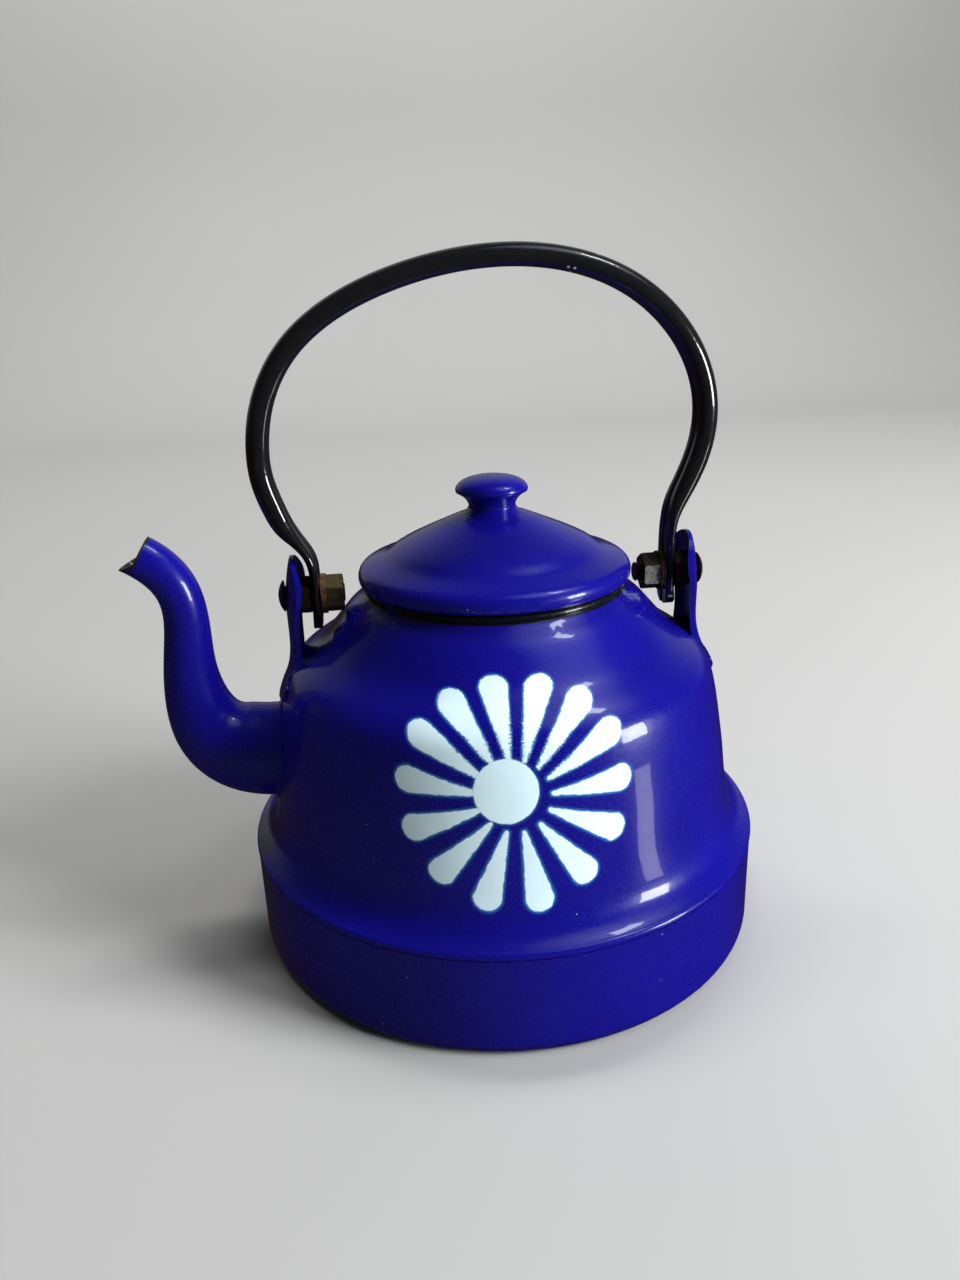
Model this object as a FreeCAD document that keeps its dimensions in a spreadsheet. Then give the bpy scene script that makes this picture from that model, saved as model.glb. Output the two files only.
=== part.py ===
import FreeCAD, Part
import Sketcher
import math
import os
import re
from FreeCAD import Placement, Rotation, Vector

# Enamelled stovetop kettle with a swan-neck spout, a lift-off lid and a swinging strip handle.
# Frame: origin at the centre of the base on the kettle's axis, +Z up, spout towards -X,
# handle hinged about the X axis.  All sizes are millimetres.

SIZES = {
    # pressed steel with its enamel
    "wall": 1.2,
    "knob_wall": 1.0,
    # base pan
    "base_radius": 79.8,
    "base_corner": 4.0,
    "seam_height": 31.0,
    # bell
    "seam_bead_radius": 80.0,
    "mouth_radius": 37.1,
    "mouth_bead": 1.3,
    "mouth_bead_height": 109.9,
    # lid
    "lid_bottom": 111.5,
    "lid_edge_radius": 39.9,
    "lid_top_radius": 8.1,
    "lid_top_height": 131.3,
    "collar_radius": 36.6,
    "collar_wall": 1.0,
    "collar_bottom": 103.0,
    "collar_top": 117.4,
    "knob_split_height": 137.3,
    "knob_split_radius": 10.6,
    "knob_top": 142.1,
    # spout
    "spout_hole_radius": 11.5,
    "spout_root_height": 59.6,
    # hinge
    "pivot_height": 109.3,
    "head_seat": 63.55,
    "clamp_seat": 60.7,
    "ear_thickness": 1.2,
    "bolt_radius": 3.0,
    "bolt_head_radius": 4.7,
    "bolt_head_edge": 0.3,
    "bolt_head_height": 1.8,
    "front_bolt_length": 18.0,
    "rear_bolt_length": 20.0,
    "thread_pitch": 1.0,
    "thread_depth": 0.45,
    "nut_bore": 3.03,
    "clearance_hole": 3.2,
    "nut_flats": 10.0,
    "nut_height": 5.0,
    "nut_crown": 6.1,
    "washer_radius": 6.0,
    "washer_thickness": 1.6,
    "hinge_play": 0.2,
    # bail handle
    "tab_thickness": 2.8,
    "tab_width": 12.0,
    "tab_end_height": 98.6,
    "tab_hole": 3.08,
    "strip": 1.1,
}

# The bead along the bell's lower edge, across and up from its widest point's foot, bottom to top.
SEAM_BEAD_ARC = [(-0.4, 0.0), (0.0, 1.1), (-1.1, 2.3)]
# Where the bell's inner face leaves its curve and turns up into the rolled mouth.
MOUTH_TURN = (0.5, -1.8)
# Outline points (radius, height) of the turned pressings, bottom to top.
BELL_OUTLINE = [
    (76.6, 34.6), (74.4, 36.9), (72.8, 40.4), (71.7, 45.5), (70.9, 52.0), (70.0, 60.0), (68.9, 67.5),
    (67.7, 75.0), (66.4, 81.0), (64.8, 85.5), (61.9, 89.0), (58.0, 91.8), (53.8, 94.7),
    (50.1, 98.5), (47.3, 101.8), (44.6, 104.7), (42.3, 106.5), (40.5, 107.8),
]
LID_OUTLINE = [
    (40.9, 112.3), (41.2, 113.6), (40.9, 115.2), (39.8, 116.6), (38.0, 117.5), (35.2, 118.6),
    (32.4, 119.9), (30.4, 121.3), (28.2, 122.6), (24.4, 124.5), (20.0, 126.5), (15.0, 128.7),
    (11.2, 130.3),
]
KNOB_NECK_OUTLINE = [(7.25, 132.1), (7.0, 133.1), (7.4, 134.5), (8.7, 136.1)]
KNOB_CAP_OUTLINE = [(10.8, 138.1), (10.1, 139.5), (7.95, 140.9), (4.2, 141.85)]
# Share of the knob's wall by which its inner face stands in from the outer one at a seam.
KNOB_SEAM_SHARE = 1.1

# Spout stations along its centre line: x, z, heading in degrees, half height, half width.
SPOUT_STATIONS = [
    (-60.0, 59.6, 180, 14.9, 13.2),
    (-68.0, 59.5, 180, 14.9, 13.2),
    (-75.0, 59.8, 176, 14.8, 13.2),
    (-81.2, 61.4, 162, 14.2, 12.9),
    (-86.9, 65.0, 139, 12.9, 12.2),
    (-90.9, 70.4, 117, 11.3, 11.0),
    (-93.0, 77.0, 102, 9.8, 9.7),
    (-93.9, 84.0, 94, 8.55, 8.5),
    (-93.9, 91.0, 88, 7.6, 7.55),
    (-93.4, 98.0, 87, 6.95, 6.9),
    (-93.1, 105.0, 91, 6.5, 6.45),
    (-93.9, 111.5, 103, 6.35, 6.3),
    (-96.6, 117.5, 122, 6.4, 6.35),
    (-101.0, 122.3, 140, 6.4, 6.35),
    (-106.5, 126.0, 150, 6.3, 6.25),
    (-112.5, 129.0, 154, 6.3, 6.25),
]
# The pouring lip is trimmed along this line in the XZ plane: top lip, side notch, bottom lip.
LIP_TRIM = [(-96.5, 137.0), (-100.8, 129.6), (-104.4, 123.4), (-109.8, 120.9), (-116.0, 117.0)]

# Ear: outer face along its length (x, z, radius of its cross curve) from the top down.
EAR_STATIONS = [
    (60.2, 123.0, 15.0), (62.1, 117.0, 15.5), (63.2, 109.3, 16.0), (63.4, 101.0, 14.0),
    (63.5, 94.0, 14.5), (64.7, 87.5, 24.0), (67.1, 82.0, 55.0), (68.6, 76.5, 70.0),
]
# The blank reaches this far each side along its outer curve, or this share of a tight curve.
EAR_BLANK_REACH = 14.0
EAR_BLANK_SHARE = 0.85
EAR_HEAD_RADIUS = 10.2
EAR_HEAD_HEIGHT = 111.2
# Right-hand edge (y, z) from the head down to the middle of the foot.
EAR_EDGE = [(7.9, 101.0), (7.8, 95.0), (10.2, 89.2), (12.6, 85.2), (10.6, 81.0), (5.5, 79.1), (0.0, 78.6)]

# Bail handle: centre line (x, z) from the front tab over the top to the rear tab, with the depth
# along the arch's radius and the width along Y of the rolled strip there.
TAB_SECTION = (3.1, 12.0)
ARCH_SECTION = (6.4, 10.0)
# Sections shallower than this are pressed solid; deeper ones are hollow.
HOLLOW_FROM_DEPTH = 3.2
# Each tab is pressed flat up to this height.
PRESSED_TO = 117.0
# How far each curled edge gives way where the slot opens.
SLOT_EASE = Vector(0, 0.2, 0)
BAIL_STATIONS = [
    (-54.1, 97.0, TAB_SECTION), (-54.1, 103.0, TAB_SECTION), (-54.1, 109.3, TAB_SECTION),
    (-54.1, 115.5, TAB_SECTION), (-54.9, 120.4, TAB_SECTION), (-57.5, 124.9, (3.6, 11.4)),
    (-61.2, 129.7, (5.6, 10.5)), (-64.2, 136.4, ARCH_SECTION), (-66.5, 145.0, ARCH_SECTION),
    (-66.5, 155.0, ARCH_SECTION), (-63.3, 167.8, ARCH_SECTION), (-55.4, 180.2, ARCH_SECTION),
    (-43.0, 189.9, ARCH_SECTION), (-27.0, 196.9, ARCH_SECTION), (-9.0, 201.2, ARCH_SECTION),
    (9.5, 202.3, ARCH_SECTION), (25.0, 200.2, ARCH_SECTION), (39.0, 195.0, ARCH_SECTION),
    (51.8, 185.6, ARCH_SECTION), (60.8, 173.0, ARCH_SECTION), (64.6, 159.0, ARCH_SECTION),
    (63.3, 146.5, ARCH_SECTION), (59.2, 136.2, (6.0, 10.3)), (56.0, 129.6, (4.8, 11.0)),
    (54.4, 123.6, (3.2, 11.8)), (54.1, 117.0, TAB_SECTION), (54.1, 110.5, TAB_SECTION),
    (54.1, 104.0, TAB_SECTION), (54.1, 97.0, TAB_SECTION),
]
# Mid line of the rolled strip in units of half its depth and half its width, from the curled
# edge beside the slot to the middle of the outer face.
STRIP_MID_LINE = [(-0.55, 0.17), (-0.90, 0.28), (-1.0, 0.54), (-0.78, 0.86), (-0.22, 1.0),
                  (0.42, 0.90), (0.86, 0.55), (1.0, 0.0)]

FRONT = -1
REAR = 1

doc = FreeCAD.newDocument("enamel_kettle")
sheet = doc.addObject("Spreadsheet::Sheet", "sizes")


# ---------------------------------------------------------------- the sheet

def fill_sheet():
    """Write each driving size as a plain number, with its name as the alias."""
    for row, (name, value) in enumerate(SIZES.items(), start=1):
        sheet.set(f"A{row}", name)
        sheet.set(f"B{row}", str(value))
        sheet.setAlias(f"B{row}", name)
    doc.recompute()


def size(name):
    """The number in a sheet cell."""
    return float(sheet.get(name))


def bind(target, prop, expression):
    """Drive a property with an expression written in the sheet's names."""
    target.setExpression(prop, re.sub(r"[a-z]+_[a-z_]+|wall|strip", r"sizes.\g<0>", expression))


# ---------------------------------------------------------------- curves and outlines

def spline(points):
    """A smooth curve through the points."""
    curve = Part.BSplineCurve()
    curve.interpolate(points)
    return curve


def offset_outline(outline, distance):
    """The outline, drawn upwards, moved inwards by a distance."""
    curve = spline([Vector(across, along, 0) for across, along in outline])
    moved = []
    for across, along in outline:
        heading = curve.tangent(curve.parameter(Vector(across, along, 0)))[0]
        moved.append((across - heading.y * distance, along + heading.x * distance))
    return moved


def arc_point(centre_radius, centre_height, arc_radius, degrees):
    """A point (radius, height) on a circle in the outline's plane."""
    angle = math.radians(degrees)
    return (centre_radius + arc_radius * math.cos(angle), centre_height + arc_radius * math.sin(angle))


def outline_curve(points):
    """Two points make a line, three an arc, and more a smooth curve."""
    corners = [Vector(across, along, 0) for across, along in points]
    if len(corners) == 2:
        return Part.LineSegment(*corners)
    if len(corners) == 3:
        return Part.Arc(*corners)
    return spline(corners)


def end_at(sketch, index, point):
    """Which end of a drawn piece, 1 or 2, lies at the point."""
    target = Vector(point[0], point[1], 0)
    return min((1, 2), key=lambda end: sketch.getPoint(index, end).distanceToPoint(target))


def draw_outline(sketch, pieces):
    """Draw a closed outline from pieces that share their end points, and join the ends."""
    made = [sketch.addGeometry(outline_curve(points), False) for points in pieces]
    for number, points in enumerate(pieces):
        after = (number + 1) % len(pieces)
        end = end_at(sketch, made[number], points[-1])
        start = end_at(sketch, made[after], points[-1])
        sketch.addConstraint(Sketcher.Constraint("Coincident", made[number], end, made[after], start))
    return made


def pin_down(sketch, index, point, radius, height):
    """Hold the end of a drawn piece at a radius and a height given in the sheet's names."""
    end = end_at(sketch, index, point)
    for kind, value, expression in (("DistanceX", point[0], radius), ("DistanceY", point[1], height)):
        number = sketch.addConstraint(Sketcher.Constraint(kind, -1, 1, index, end, value))
        bind(sketch, f"Constraints[{number}]", expression)


# ---------------------------------------------------------------- solids

def origin_feature(body, role):
    """One of a body's own origin planes or axes."""
    return next(item for item in body.Origin.OriginFeatures if item.Role == role)


def new_sketch(body, name, role):
    """A sketch on one of the body's origin planes."""
    sketch = body.newObject("Sketcher::SketchObject", name)
    sketch.AttachmentSupport = [(origin_feature(body, role), "")]
    sketch.MapMode = "FlatFace"
    return sketch


def turned(label, pieces, pins):
    """A pressing turned about its axis.  pins maps (piece, point number) to sheet expressions."""
    body = doc.addObject("PartDesign::Body", label)
    body.Label = label
    sketch = new_sketch(body, label + "_outline", "XZ_Plane")
    made = draw_outline(sketch, pieces)
    for (piece, point), (radius, height) in pins.items():
        pin_down(sketch, made[piece], pieces[piece][point], radius, height)
    turn = body.newObject("PartDesign::Revolution", label + "_turned")
    turn.Profile = sketch
    turn.ReferenceAxis = (sketch, ["V_Axis"])
    turn.Angle = 360.0
    doc.recompute()
    return body


def feature(label, shape):
    """A node whose shape is made with Part's own functions."""
    item = doc.addObject("Part::Feature", label)
    item.Label = label
    item.Shape = shape
    item.Placement = Placement()
    return item


def combined(kind, label, base, tool):
    """A boolean of two objects: kind is Part::Cut or Part::Common."""
    item = doc.addObject(kind, label)
    item.Label = label
    item.Base = base
    item.Tool = tool
    return item


def primitive(kind, name, **expressions):
    """A Part primitive with its sizes driven by the sheet."""
    item = doc.addObject(kind, name)
    for prop, expression in expressions.items():
        bind(item, prop, expression)
    return item


# ---------------------------------------------------------------- body

def make_base_pan():
    wall = size("wall")
    radius = size("base_radius")
    corner = size("base_corner")
    seam = size("seam_height")
    turn = radius - corner
    pieces = [
        [(0, 0), (turn, 0)],
        [(turn, 0), arc_point(turn, corner, corner, -45), (radius, corner)],
        [(radius, corner), (radius, seam)],
        [(radius, seam), (radius - wall, seam)],
        [(radius - wall, seam), (radius - wall, corner)],
        [(radius - wall, corner), arc_point(turn, corner, corner - wall, -45), (turn, wall)],
        [(turn, wall), (0, wall)],
        [(0, wall), (0, 0)],
    ]
    pins = {
        (0, 0): ("0", "0"),
        (2, 0): ("base_radius", "base_corner"),
        (2, 1): ("base_radius", "seam_height"),
        (4, 0): ("base_radius - wall", "seam_height"),
        (6, 1): ("0", "wall"),
    }
    return turned("base_pan", pieces, pins)


def seam_bead():
    """The three points of the bead's arc."""
    return [(size("seam_bead_radius") + across, size("seam_height") + up) for across, up in SEAM_BEAD_ARC]


def bell_outer_outline():
    """The bell's outer curve from its seam bead to its rolled mouth."""
    bead_radius = size("mouth_radius") + size("mouth_bead")
    lip = arc_point(bead_radius, size("mouth_bead_height"), size("mouth_bead"), -45)
    return [seam_bead()[-1]] + BELL_OUTLINE + [lip]


def make_bell_shell():
    wall = size("wall")
    bead = seam_bead()
    bead_inner = (bead[0][0] - wall, bead[0][1])
    mouth = size("mouth_radius")
    roll = size("mouth_bead")
    roll_height = size("mouth_bead_height")
    outer = bell_outer_outline()
    inner = offset_outline(outer, wall)[:-1]
    inner.append((mouth + MOUTH_TURN[0], roll_height + MOUTH_TURN[1]))
    inner.append((mouth, roll_height))
    pieces = [
        bead,
        outer,
        [outer[-1], arc_point(mouth + roll, roll_height, roll, 67.5), (mouth, roll_height)],
        inner[::-1],
        [inner[0], bead_inner],
        [bead_inner, bead[0]],
    ]
    pins = {
        (0, 0): (f"seam_bead_radius - {-SEAM_BEAD_ARC[0][0]}", "seam_height"),
        (3, 0): ("mouth_radius", "mouth_bead_height"),
        (5, 0): (f"seam_bead_radius - {-SEAM_BEAD_ARC[0][0]} - wall", "seam_height"),
    }
    body = turned("bell_shell", pieces, pins)
    hole = new_sketch(body, "spout_hole", "YZ_Plane")
    centre = Vector(0, size("spout_root_height"), 0)
    circle = hole.addGeometry(Part.Circle(centre, Vector(0, 0, 1), size("spout_hole_radius")), False)
    radius = hole.addConstraint(Sketcher.Constraint("Radius", circle, size("spout_hole_radius")))
    bind(hole, f"Constraints[{radius}]", "spout_hole_radius")
    height = hole.addConstraint(Sketcher.Constraint("DistanceY", -1, 1, circle, 3, centre.y))
    bind(hole, f"Constraints[{height}]", "spout_root_height")
    hole.addConstraint(Sketcher.Constraint("PointOnObject", circle, 3, -2))
    whole = body.Shape.Volume
    pierce = body.newObject("PartDesign::Pocket", "spout_pierce")
    pierce.Profile = hole
    pierce.Type = "Length"
    bind(pierce, "Length", "base_radius")
    doc.recompute()
    if body.Shape.Volume >= whole:
        raise RuntimeError("the spout hole cut nothing")
    return body


def filled_bell():
    """The bell and everything inside it, for trimming what sits on its outer face."""
    outer = bell_outer_outline()
    corners = [outer[0], outer[-1], (0, outer[-1][1]), (0, outer[0][1])]
    edges = [outline_curve(outer).toShape()]
    for start, end in zip(corners[1:], corners[2:] + corners[:1]):
        edges.append(outline_curve([start, end]).toShape())
    face = Part.Face(Part.Wire(edges))
    face.rotate(Vector(0, 0, 0), Vector(1, 0, 0), 90)
    return face.revolve(Vector(0, 0, 0), Vector(0, 0, 1), 360)


# ---------------------------------------------------------------- spout

def spout_solid(inset):
    """The spout's swept solid, with every section smaller by the inset."""
    sections = []
    for across, up, heading, half_height, half_width in SPOUT_STATIONS:
        angle = math.radians(heading)
        forward = Vector(math.cos(angle), 0, math.sin(angle))
        sideways = Vector(0, 1, 0)
        frame = Rotation(forward.cross(sideways), sideways, forward * -1, "ZXY")
        ring = Part.Ellipse(Vector(0, 0, 0), half_height - inset, half_width - inset).toShape()
        ring.Placement = Placement(Vector(across, 0, up), frame)
        sections.append(Part.Wire([ring]))
    return Part.makeLoft(sections, True, False)


def lip_cutter():
    """Everything beyond the pouring lip's trim line."""
    far = -140.0
    side = 20.0
    outline = LIP_TRIM + [(far, LIP_TRIM[-1][1]), (far, LIP_TRIM[0][1])]
    corners = [Vector(across, -side, up) for across, up in outline]
    return Part.Face(Part.makePolygon(corners + corners[:1])).extrude(Vector(0, 2 * side, 0))


def make_spout(bell_solid):
    """Two pressed halves, seam welded along the kettle's plane of symmetry."""
    tube = spout_solid(0.0).cut(spout_solid(size("wall")))
    tube = tube.cut(bell_solid).cut(lip_cutter())
    reach = 200.0
    halves = []
    for label, low_side in (("spout_left_shell", -reach), ("spout_right_shell", 0.0)):
        block = Part.makeBox(reach, reach, reach, Vector(-reach, low_side, 0))
        halves.append(feature(label, largest_solid(tube.common(block))))
    return halves


def largest_solid(shape):
    """The biggest solid of a boolean's result."""
    return max(shape.Solids, key=lambda solid: solid.Volume)


# ---------------------------------------------------------------- ears

def ear_section(face, height, curve_radius):
    """A curved strip across the ear at one height, convex outwards, wider than the ear's plan."""
    reach = min(EAR_BLANK_REACH, EAR_BLANK_SHARE * curve_radius)
    centre = face - curve_radius
    edges = []
    ends = []
    for radius in (curve_radius, curve_radius - size("ear_thickness")):
        side = radius * reach / curve_radius
        back = centre + math.sqrt(radius ** 2 - side ** 2)
        low = Vector(back, -side, height)
        high = Vector(back, side, height)
        edges.append(Part.Arc(low, Vector(centre + radius, 0, height), high).toShape())
        ends.append((low, high))
    edges.insert(1, Part.makeLine(ends[0][1], ends[1][1]))
    edges.append(Part.makeLine(ends[1][0], ends[0][0]))
    return Part.Wire(edges)


def ear_plan():
    """A bar with the ear's outline as seen along X: round head, narrow neck and flared foot."""
    past_ear = 90.0
    shoulder = arc_point(0, EAR_HEAD_HEIGHT, EAR_HEAD_RADIUS, -28)
    right = [shoulder] + EAR_EDGE
    left = [(-across, up) for across, up in reversed(right)]
    top = (0, EAR_HEAD_HEIGHT + EAR_HEAD_RADIUS)
    edges = [outline_curve(points).toShape() for points in (right, left, [left[-1], top, right[0]])]
    face = Part.Face(Part.Wire(edges))
    face.rotate(Vector(0, 0, 0), Vector(1, 1, 1), 120)
    return face.extrude(Vector(past_ear, 0, 0))


def make_ears(bell_solid):
    """The rear ear, and the front one as its mirror image."""
    strap = Part.makeLoft([ear_section(*station[:2], station[2]) for station in EAR_STATIONS], True, False)
    on_hinge = Vector(0, 0, size("pivot_height"))
    hole = Part.makeCylinder(size("clearance_hole"), size("base_radius"), on_hinge, Vector(1, 0, 0))
    shape = strap.common(ear_plan()).cut(bell_solid).cut(hole)
    rear = feature("rear_ear", largest_solid(shape))
    front = doc.addObject("Part::Mirroring", "front_ear")
    front.Label = "front_ear"
    front.Source = rear
    front.Normal = Vector(1, 0, 0)
    return [front, rear]


# ---------------------------------------------------------------- hinge hardware

def seat(item, side, distance):
    """Place an item on the hinge line, its own Z outwards, at a distance from the kettle's axis."""
    outwards = Vector(side, 0, 0)
    upwards = Vector(0, 0, 1)
    item.Placement = Placement(Vector(0, 0, 0), Rotation(upwards, outwards.cross(upwards), outwards, "ZXY"))
    bind(item, "Placement.Base.x", f"{side} * ({distance})")
    bind(item, "Placement.Base.z", "pivot_height")
    return item


def make_bolt(label, side, length_name):
    """A dome-headed bolt with its head on the crown of the ear's outer face."""
    shank = size("bolt_radius")
    head = size("bolt_head_radius")
    crown = size("bolt_head_height")
    edge = size("bolt_head_edge")
    rise = crown - edge
    dome = (head ** 2 + rise ** 2) / (2 * rise)
    length = size(length_name)
    pitch = size("thread_pitch")
    root = shank - size("thread_depth")
    turns = 5
    point = size("thread_depth")
    thread_start = -(length - point - turns * pitch)
    pieces = [
        [(0, crown), arc_point(0, crown - dome, dome, 75), (head, edge)],
        [(head, edge), (head, 0)],
        [(head, 0), (shank, 0)],
        [(shank, 0), (shank, thread_start)],
    ]
    for turn in range(turns):
        top = thread_start - turn * pitch
        pieces.append([(shank, top), (root, top - pitch / 2)])
        pieces.append([(root, top - pitch / 2), (shank, top - pitch)])
    pieces.append([(shank, -length + point), (root, -length)])
    pieces.append([(root, -length), (0, -length)])
    pieces.append([(0, -length), (0, crown)])
    pins = {
        (1, 1): ("bolt_head_radius", "0"),
        (3, 0): ("bolt_radius", "0"),
        (len(pieces) - 1, 0): ("0", f"-{length_name}"),
        (len(pieces) - 1, 1): ("0", "bolt_head_height"),
    }
    return seat(turned(label, pieces, pins), side, "head_seat")


def make_nut(label, side, inner_face):
    """A hexagon nut with rounded corners and one flat facing each way along Y."""
    prism = primitive("Part::Prism", label + "_hex", Circumradius="nut_flats / sqrt(3)", Height="nut_height")
    crown = primitive("Part::Sphere", label + "_crown", Radius="nut_crown")
    bind(crown, "Placement.Base.z", "nut_height / 2")
    blank = combined("Part::Common", label + "_blank", prism, crown)
    bore = primitive("Part::Cylinder", label + "_bore", Radius="nut_bore", Height="nut_height")
    return seat(combined("Part::Cut", label, blank, bore), side, inner_face)


def make_washer(label, side, inner_face):
    disc = primitive("Part::Cylinder", label + "_disc", Radius="washer_radius", Height="washer_thickness")
    bore = primitive("Part::Cylinder", label + "_bore", Radius="clearance_hole", Height="washer_thickness")
    return seat(combined("Part::Cut", label, disc, bore), side, inner_face)


def make_hinge_hardware():
    """From outside in: bolt head, ear, clamp nut, handle tab, washer, end nut."""
    clamp_inner = "clamp_seat - nut_height"
    washer_inner = f"{clamp_inner} - tab_thickness - 2 * hinge_play - washer_thickness"
    end_inner = f"{washer_inner} - nut_height"
    made = []
    for name, side in (("front", FRONT), ("rear", REAR)):
        made.append(make_bolt(f"{name}_bolt", side, f"{name}_bolt_length"))
        made.append(make_nut(f"{name}_clamp_nut", side, clamp_inner))
        made.append(make_washer(f"{name}_washer", side, washer_inner))
        made.append(make_nut(f"{name}_end_nut", side, end_inner))
    return made


# ---------------------------------------------------------------- bail handle

def strip_section(depth, width):
    """Outer and inner curve points (u outwards, v sideways) of the rolled strip's C section."""
    half_strip = size("strip") / 2
    half_depth = depth / 2 - half_strip
    half_width = width / 2 - half_strip
    one_side = [(u * half_depth, v * half_width) for u, v in STRIP_MID_LINE]
    middle = one_side + [(u, -v) for u, v in reversed(one_side[:-1])]
    return offset_outline(middle, half_strip), offset_outline(middle, -half_strip)


def wire_through(pieces):
    """A closed wire of the outline pieces, which are lists of points in space."""
    edges = []
    for points in pieces:
        edges.append(spline(points).toShape() if len(points) > 2 else Part.makeLine(*points))
    return Part.Wire(edges)


def bail_sections():
    """Wires across the handle's centre line: the outside at each station, and the hollow."""
    line = spline([Vector(across, 0, up) for across, up, section in BAIL_STATIONS])
    solid_wires = []
    hollow_wires = []
    for across, up, (depth, width) in BAIL_STATIONS:
        point = Vector(across, 0, up)
        along = line.tangent(line.parameter(point))[0]
        outwards = Vector(-along.z, 0, along.x)
        sides = []
        for curve in strip_section(depth, width):
            sides.append([point + outwards * u + Vector(0, v, 0) for u, v in curve])
        outer, inner = sides
        solid_wires.append(wire_through([outer, [outer[-1], outer[0]]]))
        if depth < HOLLOW_FROM_DEPTH:
            continue
        lips = [outer[-1] - SLOT_EASE, outer[0] + SLOT_EASE]
        mouth = [lip - outwards * depth for lip in lips]
        hollow_wires.append(wire_through([inner, [inner[-1], lips[0]], [lips[0], mouth[0]], mouth,
                                          [mouth[1], lips[1]], [lips[1], inner[0]]]))
    return solid_wires, hollow_wires


def tab_trim(side):
    """What pressing, rounding and drilling take off one tab."""
    near = size("clamp_seat") - size("nut_height") - size("hinge_play")
    middle = near - size("tab_thickness") / 2
    radius = size("tab_width") / 2
    pivot = size("pivot_height")
    far = 20.0
    outwards = Vector(side, 0, 0)
    end_centre = Vector(0, 0, size("tab_end_height") + radius)
    below = Part.makeBox(2 * far, 2 * far, far, Vector(side * middle - far, -far, end_centre.z - far))
    below = below.cut(Part.makeCylinder(radius, 4 * far, end_centre, outwards))
    pressed = Part.makeBox(2 * far, 2 * far, 2 * far, Vector(side * middle - far, -far, PRESSED_TO - 2 * far))
    kept = Part.makeBox(size("tab_thickness"), 2 * far, 2 * far,
                        Vector(side * middle - size("tab_thickness") / 2, -far, PRESSED_TO - 2 * far))
    hole = Part.makeCylinder(size("tab_hole"), 4 * far, Vector(0, 0, pivot), outwards)
    return below.fuse(pressed.cut(kept)).fuse(hole)


def make_bail_handle():
    """One steel strip rolled into a C section, arched, and pressed flat at its two hinge tabs."""
    solid_wires, hollow_wires = bail_sections()
    shape = Part.makeLoft(solid_wires, True, False).cut(Part.makeLoft(hollow_wires, True, False))
    for side in (FRONT, REAR):
        shape = shape.cut(tab_trim(side))
    return feature("bail_handle", largest_solid(shape))


# ---------------------------------------------------------------- lid

def make_lid_shell():
    wall = size("wall")
    top = size("lid_top_height")
    edge = (size("lid_edge_radius"), size("lid_bottom"))
    crown = (size("lid_top_radius"), top)
    outer = [edge] + LID_OUTLINE + [crown]
    inner = offset_outline(outer, wall)
    inner[-1] = (crown[0], top - wall)
    pieces = [
        outer,
        [crown, (0, top)],
        [(0, top), (0, top - wall)],
        [(0, top - wall), inner[-1]],
        inner[::-1],
        [inner[0], (edge[0] - 0.75, edge[1] + 0.3), edge],
    ]
    pins = {
        (0, 0): ("lid_edge_radius", "lid_bottom"),
        (1, 0): ("lid_top_radius", "lid_top_height"),
        (3, 0): ("0", "lid_top_height - wall"),
    }
    return turned("lid_shell", pieces, pins)


def make_lid_collar(lid_shell):
    """A plain ring that drops into the mouth, welded up under the lid."""
    outer = size("collar_radius")
    inner = outer - size("collar_wall")
    bottom = size("collar_bottom")
    top = size("collar_top")
    corners = [(inner, bottom), (outer, bottom), (outer, top), (inner, top)]
    pieces = [[start, end] for start, end in zip(corners, corners[1:] + corners[:1])]
    pins = {
        (0, 0): ("collar_radius - collar_wall", "collar_bottom"),
        (2, 0): ("collar_radius", "collar_top"),
    }
    ring = turned("collar_ring", pieces, pins)
    return combined("Part::Cut", "lid_collar", ring, lid_shell)


def make_knob_neck():
    wall = size("knob_wall")
    base = size("lid_top_height")
    split = size("knob_split_height")
    foot = (size("lid_top_radius") - 0.1, base)
    rim = (size("knob_split_radius"), split)
    outer = [foot] + KNOB_NECK_OUTLINE + [rim]
    inner = offset_outline(outer, wall)
    inner[0] = (foot[0] - KNOB_SEAM_SHARE * wall, base)
    inner[-1] = (rim[0] - KNOB_SEAM_SHARE * wall, split)
    pieces = [outer, [rim, inner[-1]], inner[::-1], [inner[0], foot]]
    pins = {
        (0, 0): ("lid_top_radius - 0.1", "lid_top_height"),
        (1, 0): ("knob_split_radius", "knob_split_height"),
    }
    return turned("knob_neck", pieces, pins)


def make_knob_cap():
    wall = size("knob_wall")
    rim = (size("knob_split_radius"), size("knob_split_height"))
    top = (0, size("knob_top"))
    outer = [rim] + KNOB_CAP_OUTLINE + [top]
    inner = offset_outline(outer, wall)
    inner[0] = (rim[0] - KNOB_SEAM_SHARE * wall, rim[1])
    inner[-1] = (0, top[1] - wall)
    pieces = [outer, [top, inner[-1]], inner[::-1], [inner[0], rim]]
    pins = {
        (0, 0): ("knob_split_radius", "knob_split_height"),
        (1, 0): ("0", "knob_top"),
    }
    return turned("knob_cap", pieces, pins)


# ---------------------------------------------------------------- build and write

def check_and_write(nodes):
    """Stop if anything failed, then write one STEP file for each node."""
    doc.recompute()
    for item in doc.Objects:
        if {"Invalid", "Error"} & set(item.State):
            raise RuntimeError(f"{item.Label} failed: {item.State}")
    os.makedirs("parts", exist_ok=True)
    for node in nodes:
        shape = node.Shape
        if shape.isNull() or not shape.isValid():
            raise RuntimeError(f"{node.Label} has no valid shape")
        shape.exportStep(f"parts/{node.Label}.step")
        print(f"{node.Label}: {len(shape.Solids)} solid, {shape.Volume / 1000:.2f} cm3")


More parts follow.
